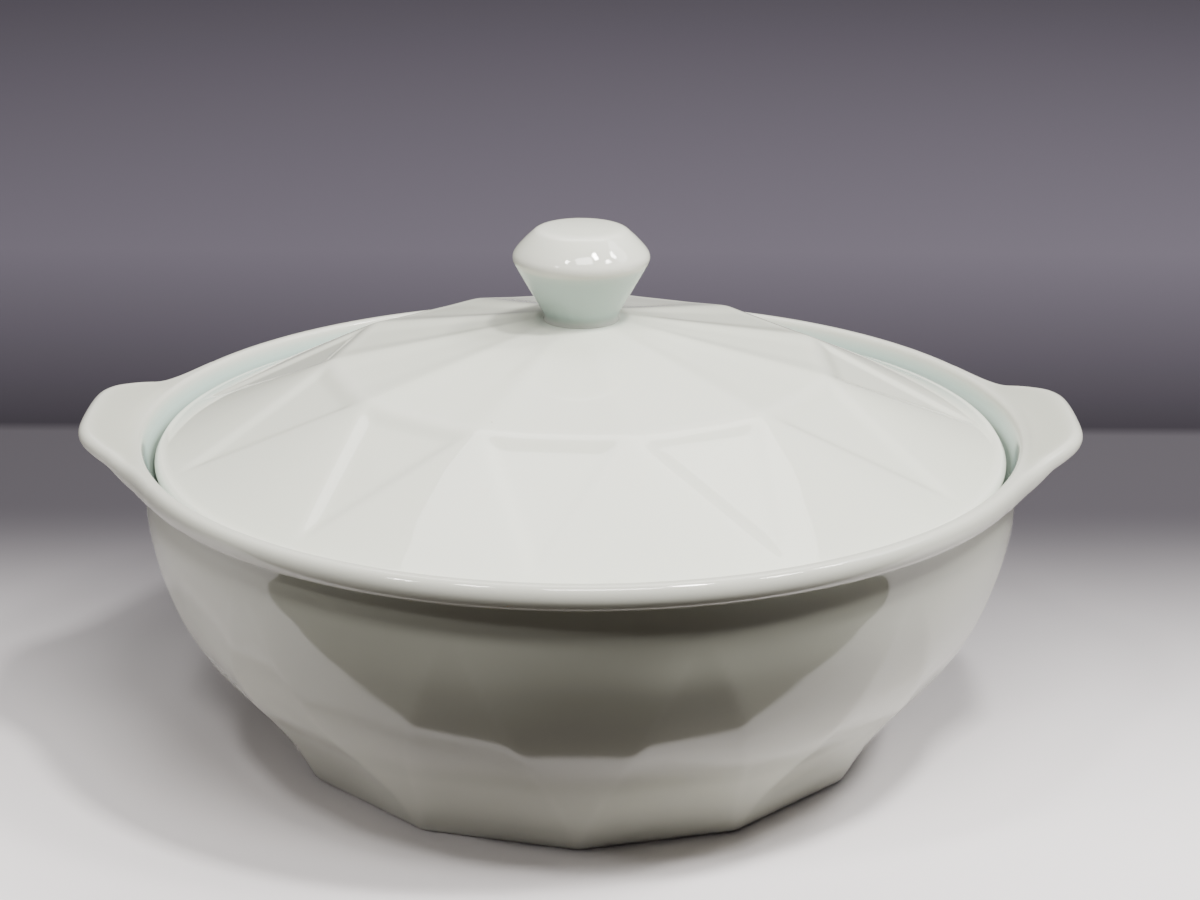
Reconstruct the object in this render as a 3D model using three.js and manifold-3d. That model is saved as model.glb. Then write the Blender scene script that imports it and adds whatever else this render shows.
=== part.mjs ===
// A lidded ceramic casserole: a round bowl on a twelve-sided foot with two flat lugs on its rim,
// a domed lid with eleven narrow facets, and a turned knob luted to the top of the lid.
// Millimetres, +Z up. The origin is the centre of the foot's underside, and -Y is the front.

import * as THREE from 'three';
import { mergeVertices } from 'three/addons/utils/BufferGeometryUtils.js';
import Module from 'manifold-3d';

const wasm = await Module();
wasm.setup();

// Driving dimensions
const segments = 72;              // flats round every turned surface
const footRadius = 77.7;          // to a corner of the twelve-sided foot
const footSides = 12;
const footRecess = { radius: 64, depth: 3.5 };
const wallTop = 75;               // the wall meets the cove under the lip here
const facetTop = 74;              // the wall's facets run out to a point here
const lipRadius = 117.5;
const crest = { radius: 115, height: 84.5 };
const seatHeight = 75.5;          // the flat ledge that the lid rests on
const seatInner = 105;
const seatOuter = 109;
const floorHeight = 9;            // inside bottom of the bowl
const lugTip = 129.2;
const lugThickness = 4.2;
const lugRise = { root: 0.7, tip: 4 };      // above the crest
const lidRadius = 110.2;
const lidSides = 11;
const lidFan = 8;                 // flats round the lid's edge from one facet's point to the next
const lidTurn = 10.9;             // degrees from the front to a corner of the lid's plateau
const lidEdge = { radius: 107.6, height: 80.9 };
const plateau = { radius: 64, height: 102, bevel: 3 };
const knobSeat = { radius: 11.5, height: 112.5 };
const flange = { inner: 97.5, outer: 101.5, bottom: 70 };
const knobHeight = 24.5;
const knobWaist = 9.8;
const knobGirth = 17.6;

const rad = THREE.MathUtils.degToRad;
const v2 = (r, z) => new THREE.Vector2(r, z);

// A profile of (radius, height) points, listed up the outside, turned about +Z.
function turned(points, sides = segments, turn = 0) {
  const geometry = new THREE.LatheGeometry(points, sides, rad(turn), 2 * Math.PI);
  return geometry.rotateX(Math.PI / 2);
}

function solid(geometry) {
  const bare = geometry.clone();
  bare.deleteAttribute('normal');
  bare.deleteAttribute('uv');
  const merged = mergeVertices(bare, 1e-4);
  return new wasm.Manifold(new wasm.Mesh({
    numProp: 3,
    vertProperties: new Float32Array(merged.attributes.position.array),
    triVerts: new Uint32Array(merged.index.array),
  }));
}

function geometryOf(body) {
  const mesh = body.getMesh();
  const geometry = new THREE.BufferGeometry();
  geometry.setAttribute('position', new THREE.BufferAttribute(mesh.vertProperties, 3));
  geometry.setIndex(new THREE.BufferAttribute(mesh.triVerts, 1));
  geometry.computeVertexNormals();
  return geometry;
}

function glaze(colour, roughness) {
  return new THREE.MeshStandardMaterial({ color: colour, roughness, metalness: 0 });
}

function piece(name, body, material) {
  const mesh = new THREE.Mesh(geometryOf(body), material);
  mesh.name = name;
  return mesh;
}

// Bowl: the wall's outline from the foot to the cove under the lip.
function wallOutline(steps) {
  const curve = new THREE.SplineCurve([
    v2(footRadius, 0), v2(83, 10), v2(91, 20.5), v2(99.5, 30.5), v2(106.5, 42), v2(111, 55),
    v2(112.8, wallTop - 9), v2(112.6, wallTop),
  ]);
  return curve.getSpacedPoints(steps);
}

function bowlBlank() {
  const lip = [v2(113.3, 76.8), v2(115.3, 77.9), v2(116.9, 78.6), v2(lipRadius, 80),
    v2(lipRadius - 0.2, 82), v2(116.5, 83.8), v2(crest.radius, crest.height), v2(0, crest.height)];
  return solid(turned([v2(0, 0), ...wallOutline(16), ...lip]));
}

// Twelve flat-sided cuts, as wide as the foot's sides at the bottom and coming to a point at the top.
function facetEnvelope() {
  const halfSide = 180 / footSides;
  const outline = wallOutline(16).filter((p) => p.y < facetTop).map((p) => {
    const halfWidth = halfSide * (1 - p.y / facetTop);
    return v2(p.x * Math.cos(rad(halfWidth)) / Math.cos(rad(halfSide)), p.y);
  });
  const clear = 2 * lipRadius;
  return solid(turned([v2(0, 0), ...outline, v2(clear, facetTop), v2(clear, 100), v2(0, 100)], footSides));
}

function lugOutline() {
  const half = [v2(104.6, 52.5), v2(108.6, 45.5), v2(112.6, 38.8), v2(117.5, 31.8), v2(122.8, 26),
    v2(127, 19.5), v2(lugTip, 10)];
  const back = half.map((p) => v2(p.x, -p.y)).reverse();
  const edge = new THREE.SplineCurve([...half, ...back]).getSpacedPoints(30);
  return new THREE.Shape([...edge, v2(100, -40), v2(100, 40)]);
}

function lug(side) {
  const bevel = 1.4;
  const geometry = new THREE.ExtrudeGeometry(lugOutline(), {
    depth: lugThickness - 2 * bevel, bevelEnabled: true, bevelThickness: bevel, bevelSize: bevel,
    bevelOffset: -bevel, bevelSegments: 3,
  });
  const slope = Math.atan((lugRise.tip - lugRise.root) / (lugTip - crest.radius));
  geometry.translate(-crest.radius, 0, bevel - lugThickness);
  geometry.rotateY(-slope);
  geometry.translate(crest.radius, 0, crest.height + lugRise.root);
  if (side < 0) geometry.rotateZ(Math.PI);
  return solid(geometry);
}

function bowlHollow() {
  const inside = new THREE.SplineCurve([
    v2(60, floorHeight), v2(72, 11.5), v2(84, 21), v2(94.5, 33), v2(101.5, 46), v2(104.7, 60),
    v2(seatInner, seatHeight),
  ]).getSpacedPoints(14);
  return solid(turned([v2(0, floorHeight), ...inside, v2(seatOuter, seatHeight), v2(110.4, 76.7),
    v2(112.4, 79.6), v2(113.6, 82.4), v2(114.2, 84), v2(crest.radius, crest.height),
    v2(crest.radius, 100), v2(0, 100)]));
}

function footHollow() {
  const { radius, depth } = footRecess;
  return solid(turned([v2(0, -5), v2(radius, -5), v2(radius, 0), v2(radius - 2, depth), v2(0, depth)]));
}

function bowl() {
  return bowlBlank().intersect(facetEnvelope()).add(lug(1)).add(lug(-1))
    .subtract(bowlHollow()).subtract(footHollow());
}

// A closed solid from rings of points, listed up the outside, each with as many points as the next.
// Points of a ring may fall together, and the triangles between them are then left out.
function stacked(rings) {
  const positions = [];
  const add = (...corners) => {
    const flat = corners.some((p, i) => p.distanceTo(corners[(i + 1) % 3]) < 1e-6);
    if (!flat) corners.forEach((p) => positions.push(p.x, p.y, p.z));
  };
  const last = rings.length - 1;
  rings.forEach((ring, k) => ring.forEach((p, i) => {
    const j = (i + 1) % ring.length;
    const centre = new THREE.Vector3(0, 0, p.z);
    if (k === 0) add(centre, ring[j], p);
    if (k === last) return add(centre, p, ring[j]);
    add(p, ring[j], rings[k + 1][i]);
    add(ring[j], rings[k + 1][j], rings[k + 1][i]);
  }));
  const geometry = new THREE.BufferGeometry();
  return geometry.setAttribute('position', new THREE.Float32BufferAttribute(positions, 3));
}

// Lid: its plateau's corners open in fans down to the round edge, and between the fans lie flat
// facets, each as wide as the plateau's side at the top and coming to a point on the edge.
function lidBlank() {
  const side = 360 / lidSides;
  const firstPoint = lidTurn - side / 2;
  const ring = (radius, height, angleOf) => Array.from({ length: lidSides * lidFan }, (_, i) => {
    const angle = rad(angleOf(i));
    return new THREE.Vector3(radius * Math.sin(angle), -radius * Math.cos(angle), height);
  });
  const round = (radius, height) => ring(radius, height, (i) => firstPoint + i * side / lidFan);
  const cornered = (radius, height) => ring(radius, height, (i) => lidTurn + Math.floor(i / lidFan) * side);
  const brow = plateau.radius + plateau.bevel;
  const shelf = plateau.radius - plateau.bevel;
  const fall = (lidEdge.height - plateau.height) / (lidEdge.radius - plateau.radius);
  const rise = (knobSeat.height - plateau.height) / (plateau.radius - knobSeat.radius);
  return solid(stacked([
    round(108.2, seatHeight), round(109.6, 76.6), round(lidRadius, 78.3), round(109.6, 79.8),
    round(lidEdge.radius, lidEdge.height), cornered(brow, plateau.height + plateau.bevel * fall),
    cornered(shelf, plateau.height + plateau.bevel * rise), cornered(knobSeat.radius, knobSeat.height),
  ]));
}

function lidFlange() {
  const { inner, outer, bottom } = flange;
  const top = seatHeight + 3;
  return solid(turned([v2(inner, bottom + 0.7), v2(inner + 0.7, bottom), v2(outer - 0.7, bottom),
    v2(outer, bottom + 0.7), v2(outer, top), v2(inner, top), v2(inner, bottom + 0.7)]));
}

function lidHollow() {
  return solid(turned([v2(0, 60), v2(flange.inner, 60), v2(flange.inner, 77.5), v2(95, 80.2),
    v2(62, 95.8), v2(30, 103), v2(10, 106.3), v2(0, 106.3)]));
}

function lid() {
  return lidBlank().add(lidFlange()).subtract(lidHollow());
}

// Knob: a cone out from its foot to a soft girth, and a cone in to a flat top.
function knob() {
  const z = knobSeat.height;
  const top = z + knobHeight;
  const g = knobGirth;
  return solid(turned([v2(0, z), v2(knobWaist, z), v2(knobWaist + 0.4, z + 1.5), v2(g - 1, z + 14.2),
    v2(g - 0.3, z + 15.3), v2(g, z + 16.4), v2(g - 0.3, z + 17.6), v2(g - 1.2, z + 18.9),
    v2(12.6, top - 2), v2(11.2, top - 0.8), v2(8.5, top - 0.2), v2(0, top)], 48));
}

const casserole = new THREE.Group();
casserole.add(piece('bowl', bowl(), glaze(0xd9dbd1, 0.12)));
casserole.add(piece('lid', lid(), glaze(0xdfe1d8, 0.1)));
casserole.add(piece('lid_knob', knob(), glaze(0xe2e3dd, 0.1)));

export default casserole;
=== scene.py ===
# A lidded ceramic casserole in celadon-white glaze, on a pale studio floor.
# The CAD model gives every size. The meshes here are its fine surface: softened ridges, rounded lips
# and glaze that gathers in hollows, with painted shade in the lid's gap, on the knob's lower cone
# and over the bowl, and a painted highlight along the lid's plateau edge. Profiles are in
# millimetres, as (radius, height), and meshes in metres.

import math

import bpy
import numpy as np
from mathutils import Matrix, Vector


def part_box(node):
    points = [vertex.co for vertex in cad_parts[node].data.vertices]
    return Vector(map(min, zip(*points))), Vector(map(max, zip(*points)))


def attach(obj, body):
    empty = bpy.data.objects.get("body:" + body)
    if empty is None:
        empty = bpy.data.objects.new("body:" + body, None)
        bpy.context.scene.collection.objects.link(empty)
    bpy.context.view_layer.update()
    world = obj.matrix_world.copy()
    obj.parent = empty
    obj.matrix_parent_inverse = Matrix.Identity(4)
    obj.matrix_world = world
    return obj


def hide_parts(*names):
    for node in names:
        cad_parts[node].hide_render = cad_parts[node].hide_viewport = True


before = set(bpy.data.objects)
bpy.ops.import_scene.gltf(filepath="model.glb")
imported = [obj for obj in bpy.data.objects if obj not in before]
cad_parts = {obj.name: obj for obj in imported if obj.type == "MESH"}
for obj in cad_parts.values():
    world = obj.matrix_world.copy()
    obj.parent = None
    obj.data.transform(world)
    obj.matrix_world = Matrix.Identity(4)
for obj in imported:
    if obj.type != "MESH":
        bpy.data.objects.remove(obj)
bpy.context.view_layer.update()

MM = 0.001


def top_of(node):
    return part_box(node)[1].z / MM


def foot_of(node):
    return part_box(node)[0].z / MM


def reach_of(node):
    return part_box(node)[1].x / MM


# Driving dimensions, from the CAD boxes where a box gives them
FOOT_SIDES = 12
FOOT_RADIUS = 77.7                 # to a corner
FACET_TOP = 74.0                   # the wall's facets end in a point here
LIP_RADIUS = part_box("bowl")[1].y / MM
CREST = 84.5
LIP_THICKNESS = 6.2
LUG_TIP = reach_of("bowl")
LUG_RISE = (0.7, 4.0)              # of its root and its tip, above the crest
LUG_THICKNESS = 4.2
SEAT = 75.5                        # the ledge that the lid rests on
BOWL_FLOOR = 9.0                   # inside bottom of the bowl
FOOT_RECESS = 3.5                  # depth of the hollow under the foot
FOOT_RING = 64.6                   # inner radius of the flat ring that it stands on
LID_SIDES = 11
LID_TURN = 10.9                    # degrees from the front to a corner of the lid's plateau
LID_EDGE = (107.6, 80.9)           # radius and height
LID_RADIUS = reach_of("lid")
LID_TOP = top_of("lid")
FLANGE_FOOT = foot_of("lid")
PLATEAU = (64.0, 102.0)            # radius to a corner, and height
FACET_DISH = 0.75                  # depth that the lid's facets are dished by
PLATEAU_SCOOP = 0.32               # and the plateau's sides
KNOB_SEAT = 11.0                   # from the axis to a side of the flat that the knob stands on
KNOB_WAIST = 9.4
KNOB_GIRTH = reach_of("lid_knob")
KNOB_TOP = top_of("lid_knob")


# ---------------------------------------------------------------- shape helpers

def soft_min(a, b, width):
    """The lower of two surfaces, with the crease between them rounded over about that width."""
    h = np.clip(0.5 + 0.5 * (b - a) / width, 0, 1)
    return b * (1 - h) + a * h - width * h * (1 - h)


def soft_max(a, b, width):
    return -soft_min(-a, -b, width)


def smooth_step(t):
    t = np.clip(t, 0, 1)
    return t * t * (3 - 2 * t)


def between(value, low, high, soft):
    """1 from low to high and 0 outside, with ends that fade over that width."""
    return smooth_step((value - low) / soft + 0.5) * smooth_step((high - value) / soft + 0.5)


def spline(points, count):
    """A Catmull-Rom curve through the points, as evenly spaced points."""
    p = np.array(points, float)
    p = np.vstack([2 * p[0] - p[1], p, 2 * p[-1] - p[-2]])
    dense = []
    for a, b, c, d in zip(p, p[1:], p[2:], p[3:]):
        for t in np.linspace(0, 1, 24, endpoint=False):
            dense.append(0.5 * (2 * b + (c - a) * t + (2 * a - 5 * b + 4 * c - d) * t * t
                                + (3 * b - a - 3 * c + d) * t ** 3))
    dense = np.array(dense + [p[-2]])
    along = np.concatenate([[0], np.cumsum(np.linalg.norm(np.diff(dense, axis=0), axis=1))])
    even = np.linspace(0, along[-1], count)
    return np.column_stack([np.interp(even, along, dense[:, i]) for i in (0, 1)])


def rounded(height, radius, spread):
    """One ring of heights with its creases rounded over, by a Gaussian of that many millimetres."""
    waves = np.fft.rfftfreq(len(height), 1 / len(height))
    damping = np.exp(-0.5 * (waves * spread / max(radius, 1)) ** 2)
    return np.fft.irfft(np.fft.rfft(height) * damping, len(height))


def wobble(angle, row, size, seed):
    """A slow, small unevenness of a hand-finished, fired surface."""
    rng = np.random.default_rng(seed)
    total = np.zeros(np.broadcast(angle, row).shape)
    for waves in (2, 3, 5, 7, 9, 13):
        phase = rng.uniform(0, 2 * math.pi)
        lean = rng.uniform(-0.05, 0.05)
        tall = rng.uniform(0.04, 0.12)
        across = np.sin(waves * angle + phase + lean * row)
        total += across * np.sin(tall * row + 2 * phase) / waves ** 0.6
    return size * total


class Rows:
    """Rows of a turned mesh, from the middle of its underside round to the middle of its top."""

    def __init__(self, columns):
        self.angle = np.arange(columns) * 2 * math.pi / columns
        self.radius, self.height, self.ridge = [], [], []

    def add(self, radius, height, ridge=0.0):
        flat = np.ones_like(self.angle)
        self.radius.append(radius * flat)
        self.height.append(height * flat)
        self.ridge.append(ridge * flat)

    def run(self, points):
        for radius, height in points:
            self.add(radius, height)

    def arrays(self):
        return np.array(self.radius), np.array(self.height), np.array(self.ridge)


def bends(radius, height, reach):
    """How hollow (+) or proud (-) each point of the profile is, over about that many millimetres."""
    step_r, step_z = np.diff(radius, axis=0), np.diff(height, axis=0)
    length = np.hypot(step_r, step_z) + 1e-6
    heading = np.unwrap(np.arctan2(step_z, step_r), axis=0)
    turn = np.zeros_like(radius)
    turn[1:-1] = np.diff(heading, axis=0)
    along = np.vstack([np.zeros((1, radius.shape[1])), np.cumsum(length, axis=0)])
    out = np.zeros_like(radius)
    for i in range(len(radius)):
        near = np.exp(-((along - along[i]) / reach) ** 2)
        out[i] = -(turn * near).sum(axis=0)
    return out


def turned_mesh(name, rows, bare, pooled_and_shaded, turn=0.0):
    """A closed mesh from the rows, with what the glaze needs to know stored on its points.

    "pool" is how thick the glaze lies; on the knob's lower cone it is painted shade, and above 1, up
    to 2, it darkens as painted shade in the gap between lid and lip. "thin" is where the glaze pulls
    away from proud edges, along the lid's plateau edge partly a painted highlight, and "bare" where
    there is none.
    """
    radius, height, ridge = rows.arrays()
    angle = rows.angle + math.radians(turn)
    hollow = bends(radius, height, 2.2)
    x, y = radius * np.sin(angle), -radius * np.cos(angle)
    count, columns = radius.shape
    ring = np.stack([x, y, height], axis=-1)[1:-1].reshape(-1, 3)
    ends = np.array([[0, 0, height[0, 0]], [0, 0, height[-1, 0]]])
    points = np.vstack([ring, ends]) * MM
    faces = []
    for r in range(count - 3):
        a, b = r * columns, (r + 1) * columns
        faces += [(a + c, a + (c + 1) % columns, b + (c + 1) % columns, b + c)
                  for c in range(columns)]
    first, last = len(points) - 2, len(points) - 1
    top = (count - 3) * columns
    faces += [(first, (c + 1) % columns, c) for c in range(columns)]
    faces += [(last, top + c, top + (c + 1) % columns) for c in range(columns)]
    mesh = bpy.data.meshes.new(name)
    mesh.from_pydata(points.tolist(), [], faces)
    mesh.polygons.foreach_set("use_smooth", [True] * len(mesh.polygons))
    marks = {
        "pool_and_shade": np.clip(np.clip(hollow, 0, 1) * 0.1 + pooled_and_shaded(radius, height), 0, 2),
        "thin": np.clip(np.clip(-hollow * 0.9, 0, 1) + 0.8 * ridge, 0, 1),
        "bare": bare(radius, height),
    }
    for mark, value in marks.items():
        layer = mesh.attributes.new(mark, "FLOAT", "POINT")
        inner = value[1:-1].reshape(-1)
        both = np.concatenate([inner, [value[0, 0], value[-1, 0]]])
        layer.data.foreach_set("value", both.astype(np.float32))
    piece = bpy.data.objects.new(name, mesh)
    bpy.context.scene.collection.objects.link(piece)
    return piece


# ---------------------------------------------------------------- camera

def add_camera():
    camera = bpy.data.objects.new("camera", bpy.data.cameras.new("camera"))
    bpy.context.scene.collection.objects.link(camera)
    camera.data.sensor_width = 36
    camera.data.lens = 81
    target, distance, down, roll = Vector((5.0, 0, 76.7)) * MM, 706.6 * MM, 18.83, 0.26
    forward = Vector((0, math.cos(math.radians(down)), -math.sin(math.radians(down))))
    camera.location = target - forward * distance
    turn = forward.to_track_quat("-Z", "Y").to_matrix().to_4x4()
    camera.matrix_world = (Matrix.Translation(camera.location) @ turn
                           @ Matrix.Rotation(math.radians(roll), 4, "Z"))
    camera.data.clip_start, camera.data.clip_end = 0.01, 50
    bpy.context.scene.camera = camera


# ---------------------------------------------------------------- bowl

def wall_outline(count):
    return spline([(FOOT_RADIUS, 0), (83, 10), (91, 20.5), (99.5, 30.5), (106.5, 42), (111, 55),
                   (112.8, 66), (112.6, 75)], count)


def wall_radius(rows, base, height):
    """The wall at one height: the flat sides of the foot narrow upwards, and between them the
    wall opens out from the foot's corners, nearly flat at first and round under the lip."""
    flatness, rounding_height, ridge_fade, softness = 0.9, 50, 14, 0.9
    half = math.pi / FOOT_SIDES
    from_middle = np.abs(np.mod(rows.angle, 2 * half) - half)
    from_corner = half - from_middle
    width = half * max(0.0, 1 - height / FACET_TOP)
    flat = base * math.cos(width) / np.cos(from_middle)
    chord = base * math.cos(half - width) / np.cos(from_corner)
    opened = base + (chord - base) * flatness * smooth_step((FACET_TOP - height) / rounding_height)
    edge = rounded(np.where(from_middle < width, flat, opened), base, softness)
    fade = smooth_step((FACET_TOP - height) / ridge_fade)
    ridge = 0.2 * fade * np.exp(-((from_middle - width) * base / softness) ** 2)
    return edge + wobble(rows.angle, height, 0.05, 4), ridge


def lug_plan(angle):
    """How far the lip and its two lugs reach in plan."""
    half = [(104.6, 52.5), (108.6, 45.5), (112.6, 38.8), (117.5, 31.8), (122.8, 26), (127, 19.5),
            (LUG_TIP - 0.9, 10)]
    edge = spline(half + [(x, -y) for x, y in half[::-1]], 120)
    edge = edge[edge[:, 1] >= 0][::-1]
    from_tip = np.abs(np.mod(angle, math.pi) - math.pi / 2)
    lug = np.interp(from_tip, np.arctan2(edge[:, 1], edge[:, 0]), np.hypot(*edge.T), right=100.0)
    return soft_max(lug, LIP_RADIUS + 0 * lug, 1.5)


def bowl_rows():
    rows = Rows(40 * FOOT_SIDES)
    for radius in np.linspace(0, 60, 9):
        rows.add(radius, FOOT_RECESS)
    rows.run([(61.2, 3.45), (61.9, 3.1), (62.3, 2.5), (62.9, 1.3), (63.3, 0.5), (63.9, 0.1),
              (FOOT_RING, 0)])
    foot, ridge = wall_radius(rows, FOOT_RADIUS + 0.2, 1.0)
    for t in (0.2, 0.4, 0.6, 0.8, 1.0):
        rows.add(FOOT_RING + (foot - 1.2 - FOOT_RING) * t, 0)
    for inset, rise in ((0.75, 0.06), (0.38, 0.25), (0.1, 0.6)):
        rows.add(foot - inset, rise, ridge)
    for base, height in wall_outline(76)[1:]:
        radius, ridge = wall_radius(rows, base, height)
        rows.add(radius, height, ridge)
    add_lip(rows)
    rows.run([(113.9, 84.3), (113.5, 83.95), (113.2, 83.3), (112.9, 82.3), (112.5, 80.9),
              (111.9, 79.3), (111.2, 78.0), (110.4, 76.9), (109.6, 76.1), (109.0, 75.65),
              (108.4, SEAT), (107.2, SEAT), (106.2, SEAT), (105.7, 75.45), (105.3, 75.2),
              (105.05, 74.8), (105.0, 74.2)])
    inside = spline([(60, BOWL_FLOOR), (72, 11.5), (84, 21), (94.5, 33), (101.5, 46), (104.7, 60),
                     (105, 73.4)], 46)
    for radius, height in inside[::-1]:
        rows.add(radius + wobble(rows.angle, height, 0.05, 5), height)
    for radius in np.linspace(55, 0, 9):
        rows.add(radius, BOWL_FLOOR - 0.35 * (1 - (radius / 60) ** 2))
    return rows


def add_lip(rows):
    """The cove under the lip, its round nose, which the lugs stretch outwards, and its crest."""
    reach = lug_plan(rows.angle)
    lug = smooth_step((reach - LIP_RADIUS) / 6)
    nose, root, start, lug_root = 2.4, 114.3, 113.9, 115

    def crest_height(radius):
        across = radius * np.abs(np.sin(rows.angle))
        low, high = LUG_RISE
        rise = low + (high - low) * (across - lug_root) / (LUG_TIP - 1 - lug_root)
        return CREST + lug * smooth_step((radius - start) / 3) * soft_max(rise, 0 * rise, 0.4)

    def thickness(radius):
        thinned = (LIP_THICKNESS - LUG_THICKNESS) * lug
        return LIP_THICKNESS - thinned * smooth_step((radius - start) / 6)

    rows.run([(112.6, 75.8), (112.6, 76.6), (112.66, 77.3), (112.86, 77.78), (113.3, 78.1)])
    depth = thickness(reach) / 2
    for t in np.linspace(0, 1, 14):
        radius = start + (reach - nose - start) * t
        rows.add(radius, crest_height(radius) - thickness(radius) - 0.08 * (1 - t))
    middle = crest_height(reach - nose) - depth
    for a in np.radians(np.linspace(-80, 80, 17)):
        rows.add(reach - nose + nose * math.cos(a), middle + depth * math.sin(a))
    for t in np.linspace(0, 1, 16):
        radius = reach - nose + (root - reach + nose) * t
        rows.add(radius, crest_height(radius))


def make_bowl():
    def bare(radius, height):
        return between(radius, 65.2, 200, 0.5) * between(height, -1, 0.3, 0.3)

    def pooled_and_shaded(radius, height):
        inner = between(radius, 104.5, 113.6, 0.6) * between(height, 74.5, 83.4, 2.0)
        inner = np.where((radius > 112.2) & (height < 80), 0, inner)
        # Painted shade: the ledge's corner, in the gap between the lid and the lip, is pushed past
        # full pooling, which darkens it.
        ledge_gap_shade = between(radius, 108.6, 112.3, 0.5) * between(height, 75, 79.2, 1.0)
        recess = between(radius, 60, 63, 1.5) * between(height, 1.5, 3.6, 0.5)
        bottom = between(height, 8, 14, 6) * (radius < 75)
        return 0.9 * inner + ledge_gap_shade + 0.5 * recess + 0.15 * bottom

    return turned_mesh("bowl_shell", bowl_rows(), bare, pooled_and_shaded)


# ---------------------------------------------------------------- lid

def lid_surface(rows, radius):
    """Height of the lid's upper side at one radius, and where its ridges are.

    Each corner of the plateau opens in a fan down to the round edge. Between the fans lie flat
    facets, which come to a point on the edge and are slightly dished.
    """
    half = math.pi / LID_SIDES
    (corner, top), (edge, foot) = PLATEAU, LID_EDGE
    from_corner = np.abs(np.mod(rows.angle + half, 2 * half) - half)
    x, y = radius * np.cos(from_corner), radius * np.sin(from_corner)

    out_x, out_y = x - corner, y
    reach = np.hypot(out_x, out_y) + 1e-9
    lean = corner * out_x / reach
    to_edge = np.sqrt(lean ** 2 + edge ** 2 - corner ** 2) - lean
    fan = top + (foot - top) * reach / to_edge

    apothem = radius * np.cos(half - from_corner)
    side = corner * math.cos(half)
    facet = top + (foot - top) * (apothem - side) / (edge - side)
    point_x, point_y = edge * math.cos(half) - corner, edge * math.sin(half)
    inside = (point_x * out_y - point_y * out_x) / math.hypot(point_x, point_y)
    dish = smooth_step(inside / 3.4) * smooth_step((apothem - side - 1) / 5)
    slope = np.where(inside > 0, facet, fan) - FACET_DISH * dish

    roof = top + (LID_TOP - top) * (apothem - side) / (KNOB_SEAT - side)
    scoop = smooth_step(1.6 * from_corner / half) * smooth_step((radius - 12) / 20)
    roof = roof - PLATEAU_SCOOP * scoop
    bead = np.exp(-((apothem - side) / 1.7) ** 2)
    whole = soft_min(slope, roof, 0.8) + 0.13 * bead
    on_slope = (apothem > side + 3) * (radius < 104)
    # The bead's share paints the plateau's edge paler: partly thin glaze on a proud bead, partly a
    # painted highlight along that edge.
    ridge = 0.25 * np.exp(-(inside / 1.5) ** 2) * on_slope + 0.3 * bead
    whole = rounded(soft_min(whole, LID_TOP + 0 * whole, 0.3), radius, 1.0)
    return whole + wobble(rows.angle, radius, 0.04, 8), ridge


def lid_rows():
    rows = Rows(52 * LID_SIDES)
    top = []
    for radius in np.concatenate([[0, 5, 9], np.linspace(11, 56, 28), np.linspace(57.2, 71, 20),
                                  np.linspace(72, LID_EDGE[0] - 0.2, 40)]):
        top.append((radius, *lid_surface(rows, radius)))
    under = spline([(0, 106.3), (10, 106.2), (30, 103), (62, 95.8), (95, 80.2)], 34)
    rows.run(under)
    rows.run([(96.2, 79.5), (97.0, 78.7), (97.4, 77.6), (97.5, 76.2), (97.5, 74.0), (97.5, 71.6),
              (97.6, 70.9), (97.95, 70.35), (98.5, 70.05), (99.1, FLANGE_FOOT), (99.9, FLANGE_FOOT),
              (100.5, 70.05), (101.05, 70.35), (101.4, 70.9), (101.5, 71.6), (101.5, 73.2),
              (101.55, 74.6), (101.8, 75.2), (102.3, 75.45), (103.0, SEAT), (105.2, SEAT),
              (107.3, SEAT), (108.2, 75.7), (109.0, 76.2), (109.7, 76.9), (110.05, 77.7),
              (LID_RADIUS, 78.4), (110.05, 79.1), (109.6, 79.75)])
    edge = top[-1][1]
    rows.add(109.0, (edge + 0.3 * 79.9) / 1.3 - 0.05)
    rows.add(108.3, (edge + 0.05 * 79.9) / 1.05 - 0.1)
    for radius, height, ridge in top[::-1]:
        rows.add(radius, height, ridge)
    return rows


def make_lid():
    def bare(radius, height):
        return between(radius, 102.2, 108.0, 0.5) * between(height, 70, SEAT + 0.3, 0.3)

    def pooled_and_shaded(radius, height):
        seat = between(radius, 9, 11.2, 2) * between(height, LID_TOP - 2, LID_TOP + 1, 0.5)
        # Painted shade: the underside of the lid's edge, beside the gap, is pushed past full
        # pooling, which darkens it.
        under_edge_shade = between(radius, 108.4, 111, 0.4) * between(height, 75, 78.0, 0.6)
        inside = between(radius, 94, 97.6, 1.5) * between(height, 76, 81, 2)
        return 0.4 * seat + 1.6 * under_edge_shade + 0.3 * inside

    return turned_mesh("lid_shell", lid_rows(), bare, pooled_and_shaded, LID_TURN)


# ---------------------------------------------------------------- knob

def knob_rows():
    rows = Rows(180)
    z, w, g, top = LID_TOP, KNOB_WAIST, KNOB_GIRTH, KNOB_TOP
    rows.run([(0, z), (5, z), (w + 0.1, z), (w + 0.35, z + 0.03), (w + 0.38, z + 0.1),
              (w + 0.25, z + 0.3), (w + 0.2, z + 0.7), (w + 0.25, z + 1.2), (w + 0.45, z + 1.8)])
    rows.run(spline([(w + 0.8, z + 2.6), (13.5, z + 8.4), (g - 1.1, z + 13.7)], 18))
    rows.run(spline([(g - 0.85, z + 14.2), (g - 0.3, z + 15.2), (g - 0.01, z + 16.3),
                     (g - 0.25, z + 17.5), (g - 1.1, z + 18.8)], 14))
    rows.run(spline([(g - 1.5, z + 19.3), (14.3, top - 3.3), (12.8, top - 1.9)], 8)[1:])
    rows.run(spline([(12.3, top - 1.45), (11.4, top - 0.85), (9.6, top - 0.42),
                     (5.5, top - 0.12)], 12))
    rows.run([(2.5, top - 0.02), (0, top)])
    return rows


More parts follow.
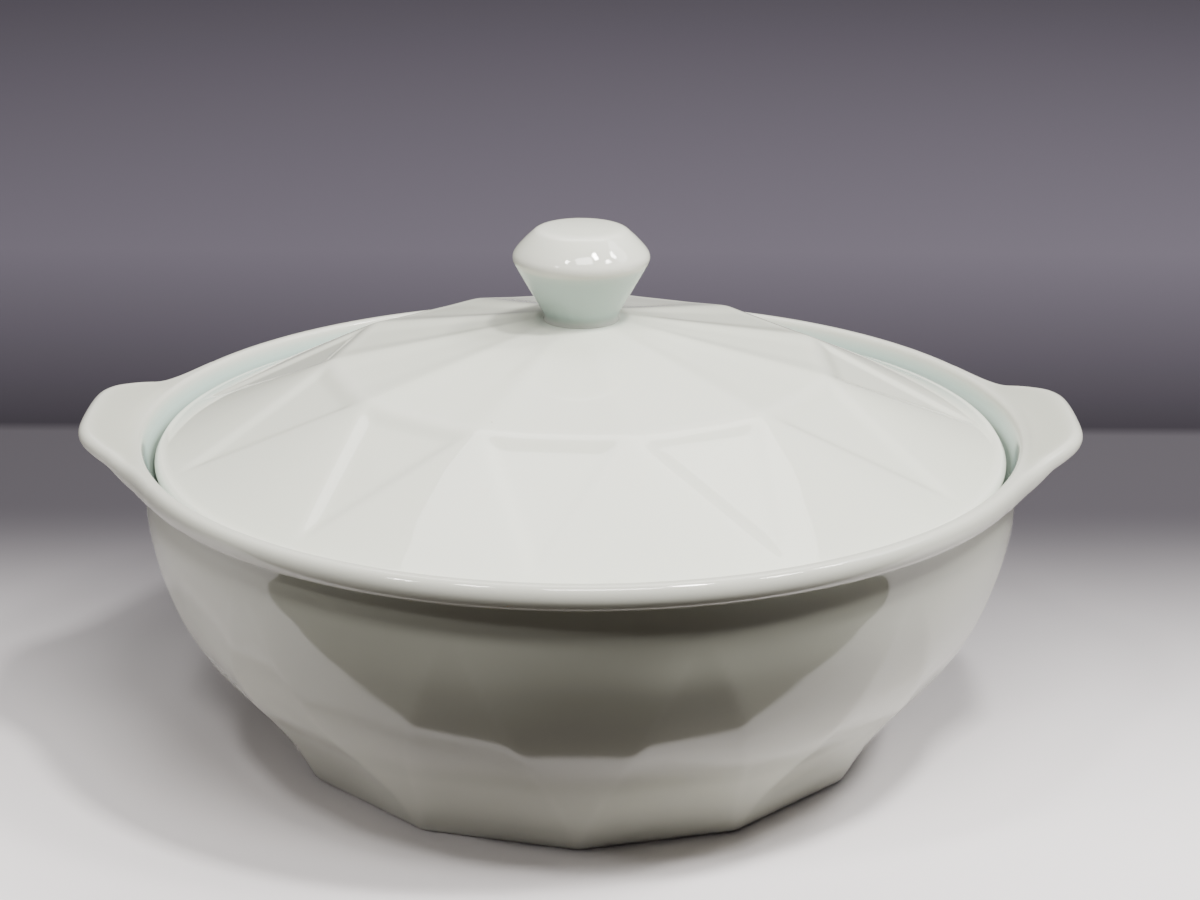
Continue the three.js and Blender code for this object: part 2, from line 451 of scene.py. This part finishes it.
def make_knob():
    def bare(radius, height):
        return 0 * radius

    def pooled_and_shaded(radius, height):
        # Painted shade: the knob's lower cone, which faces down, is tinted and darkened like thick
        # glaze from its foot up to the girth.
        return 0.95 * between(height, LID_TOP - 1, LID_TOP + 15, 1.5)

    return turned_mesh("knob_shell", knob_rows(), bare, pooled_and_shaded)


# ---------------------------------------------------------------- glaze

# Base colours, linear red, green and blue
POOLED = (0.47, 0.60, 0.56)
# Painted shade: the glaze is darkened toward this where the pooling mark goes above 1, in the gap
# between lid and lip and under the lid's edge.
PAINTED_SHADE = (0.17, 0.21, 0.18)
IRON = (0.30, 0.25, 0.19)
BISCUIT = ((0.62, 0.585, 0.52), (0.74, 0.715, 0.66))
# The bowl's tints are the lid's glaze darkened: painted shade over the whole bowl.
SHADED_BOWL_TINTS = ((0.57, 0.575, 0.50), (0.69, 0.69, 0.625))      # its body and its thin edges
LID_TINTS = ((0.79, 0.80, 0.71), (0.85, 0.845, 0.77))


class Shader:
    """Short forms for building one node material."""

    def __init__(self, name):
        self.material = bpy.data.materials.new(name)
        self.material.use_nodes = True
        self.nodes = self.material.node_tree.nodes
        self.link = self.material.node_tree.links.new
        self.bsdf = self.nodes["Principled BSDF"]
        self.place = self.nodes.new("ShaderNodeTexCoord").outputs["Object"]

    def mark(self, name):
        node = self.nodes.new("ShaderNodeAttribute")
        node.attribute_name = name
        return node.outputs["Fac"]

    def noise(self, scale, detail=3.0, roughness=0.5):
        node = self.nodes.new("ShaderNodeTexNoise")
        node.inputs["Scale"].default_value = scale
        node.inputs["Detail"].default_value = detail
        node.inputs["Roughness"].default_value = roughness
        self.link(self.place, node.inputs["Vector"])
        return node.outputs["Fac"]

    def remap(self, source, low, high, to_low, to_high, kind="LINEAR"):
        node = self.nodes.new("ShaderNodeMapRange")
        node.interpolation_type = kind
        for i, value in enumerate((low, high, to_low, to_high)):
            node.inputs[i + 1].default_value = value
        self.link(source, node.inputs[0])
        return node.outputs[0]

    def math(self, kind, a, b):
        node = self.nodes.new("ShaderNodeMath")
        node.operation = kind
        for socket, value in zip(node.inputs, (a, b)):
            if isinstance(value, (int, float)):
                socket.default_value = value
            else:
                self.link(value, socket)
        return node.outputs[0]

    def mix(self, factor, a, b):
        node = self.nodes.new("ShaderNodeMix")
        node.data_type = "RGBA"
        self.link(factor, node.inputs[0])
        for socket, value in ((node.inputs[6], a), (node.inputs[7], b)):
            if isinstance(value, tuple):
                socket.default_value = (*value, 1)
            else:
                self.link(value, socket)
        return node.outputs[2]

    def bump(self, height, strength, distance, under=None):
        node = self.nodes.new("ShaderNodeBump")
        node.inputs["Strength"].default_value = strength
        node.inputs["Distance"].default_value = distance
        self.link(height, node.inputs["Height"])
        if under is not None:
            self.link(under, node.inputs["Normal"])
        return node.outputs["Normal"]


def specks(shader, cells, size, share):
    """Small round spots, one in some of the cells: 1 on a spot and 0 off it."""
    voronoi = shader.nodes.new("ShaderNodeTexVoronoi")
    voronoi.inputs["Scale"].default_value = cells
    shader.link(shader.place, voronoi.inputs["Vector"])
    spot = shader.remap(voronoi.outputs["Distance"], size, size * 0.5, 0, 1)
    pick = shader.nodes.new("ShaderNodeSeparateColor")
    shader.link(voronoi.outputs["Color"], pick.inputs[0])
    chosen = shader.math("LESS_THAN", pick.outputs[0], share)
    return shader.math("MULTIPLY", spot, chosen)


def glaze(name, body, thin):
    """Clear glossy glaze on a white body: tinted where it pools, paler and warmer on thin edges.
    Above 1 the pooling mark darkens it with painted shade, and along the lid's plateau edge the
    paler tint is partly a painted highlight.
    """
    shader = Shader(name)
    drift = shader.remap(shader.noise(9, 2), 0.35, 0.65, 0, 1)
    drifted = tuple(c * f for c, f in zip(body, (0.975, 0.985, 0.97)))
    colour = shader.mix(drift, body, drifted)
    colour = shader.mix(shader.mark("pool_and_shade"), colour, POOLED)
    # Painted shade: above 1 the pooling mark darkens the colour toward the shade colour.
    shade_share = shader.remap(shader.mark("pool_and_shade"), 1, 2, 0, 1)
    colour = shader.mix(shade_share, colour, PAINTED_SHADE)
    colour = shader.mix(shader.math("MULTIPLY", shader.mark("thin"), 0.75), colour, thin)
    iron = specks(shader, 95, 0.028, 0.05)
    colour = shader.mix(shader.math("MULTIPLY", iron, 0.55), colour, IRON)
    bare = shader.mark("bare")
    biscuit = shader.mix(shader.noise(420, 4, 0.65), *BISCUIT)
    shader.link(shader.mix(bare, colour, biscuit), shader.bsdf.inputs["Base Color"])

    smear = shader.remap(shader.noise(26, 4, 0.6), 0.35, 0.75, 0.02, 0.045)
    dull = shader.math("MULTIPLY", bare, 0.62)
    shader.link(shader.math("ADD", smear, dull), shader.bsdf.inputs["Roughness"])

    slow = shader.bump(shader.noise(34, 1.5), 0.32, 0.0006)
    skin = shader.bump(shader.noise(260, 2), 0.10, 0.00008, slow)
    pits = shader.bump(specks(shader, 210, 0.045, 0.06), 0.5, -0.00005, skin)
    grain = shader.math("MULTIPLY", shader.noise(1900, 3, 0.7), bare)
    normal = shader.bump(grain, 0.6, 0.00012, pits)
    shader.link(normal, shader.bsdf.inputs["Normal"])

    shader.bsdf.inputs["IOR"].default_value = 1.53
    shader.bsdf.inputs["Subsurface Weight"].default_value = 0.12
    shader.bsdf.inputs["Subsurface Radius"].default_value = (1.0, 0.95, 0.8)
    shader.bsdf.inputs["Subsurface Scale"].default_value = 0.0022
    return shader.material


# ---------------------------------------------------------------- studio

def add_floor():
    """A flat floor, pale where the dish stands and dark purple-grey further off. The fall from pale
    to dark is painted shade, a patch of light painted round the dish.

    Just in front of the dish, and outside the picture, it is dark, which the bowl reflects.
    """
    pale, shaded = (0.90, 0.86, 0.88), (0.066, 0.061, 0.070)
    horizon, distant = (0.028, 0.025, 0.031), (0.105, 0.094, 0.118)
    foreground = (0.05, 0.045, 0.04)
    half = 5.0
    points = [(x, y, 0) for x, y in ((-half, -half), (half, -half), (half, half), (-half, half))]
    mesh = bpy.data.meshes.new("studio_floor")
    mesh.from_pydata(points, [], [(0, 1, 2, 3)])
    floor = bpy.data.objects.new("studio_floor", mesh)
    bpy.context.scene.collection.objects.link(floor)
    shader = Shader("studio_floor")
    axes = shader.nodes.new("ShaderNodeSeparateXYZ")
    shader.link(shader.place, axes.inputs[0])
    # Painted shade: the floor darkens from pale to the far colour with distance behind the dish, a
    # painted fall of light.
    back = shader.remap(axes.outputs["Y"], -0.10, 0.17, 0, 1, "SMOOTHSTEP")
    edge = shader.remap(axes.outputs["Y"], 0.243, 0.253, 0, 1)
    beyond = shader.remap(axes.outputs["Y"], 0.25, 0.50, 0, 1)
    front = shader.remap(axes.outputs["Y"], -0.104, -0.108, 0, 1)
    backdrop = shader.mix(beyond, horizon, distant)
    colour = shader.mix(back, pale, shaded)
    colour = shader.mix(edge, colour, backdrop)
    colour = shader.mix(front, colour, foreground)
    shader.link(colour, shader.bsdf.inputs["Base Color"])
    shader.bsdf.inputs["Roughness"].default_value = 0.9
    shader.bsdf.inputs["Specular IOR Level"].default_value = 0.0
    mesh.materials.append(shader.material)


def area_light(name, size, power, place, colour):
    """A soft light that faces the middle of the dish."""
    data = bpy.data.lights.new(name, "AREA")
    data.shape = "RECTANGLE"
    data.size, data.size_y = size
    data.energy, data.color = power, colour
    light = bpy.data.objects.new(name, data)
    bpy.context.scene.collection.objects.link(light)
    light.location = place
    light.rotation_mode = "QUATERNION"
    light.rotation_quaternion = (Vector((0, 0, 0.06)) - Vector(place)).to_track_quat("-Z", "Y")


def around(azimuth, elevation):
    """A place 1.5 m from the dish: azimuth 0 is the front and 90 the right, both in degrees."""
    distance = 1.5
    a, e = math.radians(azimuth), math.radians(elevation)
    return (distance * math.sin(a) * math.cos(e), -distance * math.cos(a) * math.cos(e),
            distance * math.sin(e))


def add_lights():
    neutral, daylight, warm = (1, 0.995, 0.97), (0.96, 0.98, 1), (1, 0.985, 0.95)
    area_light("ceiling", (1.1, 0.5), 8, (0.05, 0.55, 1.38), neutral)
    area_light("ceiling_wide", (2.2, 1.2), 4.5, (0.3, 0.8, 1.4), neutral)
    area_light("window", (0.5, 0.5), 5, around(100, 50), daylight)
    area_light("front_soft", (0.5, 0.3), 12, around(9, 66), warm)
    for azimuth, elevation, power in ((48, 68, 18), (-38, 62, 5), (-49, 46, 3), (64, 55, 4),
                                      (69, 55, 4), (89, 55, 5)):
        area_light("lamp", (0.12, 0.15), power, around(azimuth, elevation), warm)
    world = bpy.data.worlds.new("studio")
    world.use_nodes = True
    background = world.node_tree.nodes["Background"]
    background.inputs["Color"].default_value = (0.02, 0.018, 0.022, 1)
    background.inputs["Strength"].default_value = 1.0
    bpy.context.scene.world = world


# ---------------------------------------------------------------- the dish

def add_pieces():
    for piece, node, carrier, slot, tints in (
            (make_bowl(), "bowl", "dish", "bowl_glaze", SHADED_BOWL_TINTS),
            (make_lid(), "lid", "cover", "lid_glaze", LID_TINTS),
            (make_knob(), "lid_knob", "cover", "knob_glaze", LID_TINTS)):
        piece.data.materials.append(glaze(slot, *tints))
        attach(piece, carrier)
        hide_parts(node)


add_camera()
add_pieces()
add_floor()
add_lights()
